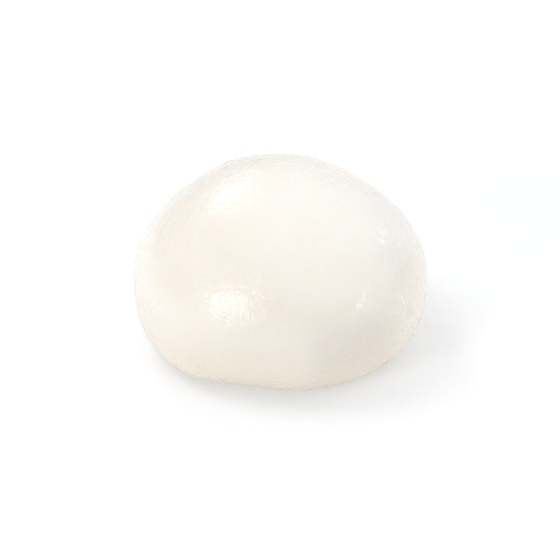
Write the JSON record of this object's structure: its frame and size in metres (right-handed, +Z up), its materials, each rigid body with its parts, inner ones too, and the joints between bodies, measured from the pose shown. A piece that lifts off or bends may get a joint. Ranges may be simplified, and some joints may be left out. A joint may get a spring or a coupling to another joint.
{
  "type": "burrata",
  "caption": "Plump ball of fresh soft cream-filled cheese, smooth white skin gathered to a small pleated pinch on one side, sagged onto a flat foot.",
  "frame": {"origin": "centre of the underside of the box round the cheese, on the surface it rests on", "axes": "+X to the right along the widest extent, -Y towards the front, +Z up along the lowest extent"},
  "size_m": [0.0694, 0.068, 0.0444],
  "materials": {
    "cheese": "moist, smooth, soft gloss"
  },
  "bodies": {
    "root": {"burrata": "cheese"}
  },
  "joints": []
}
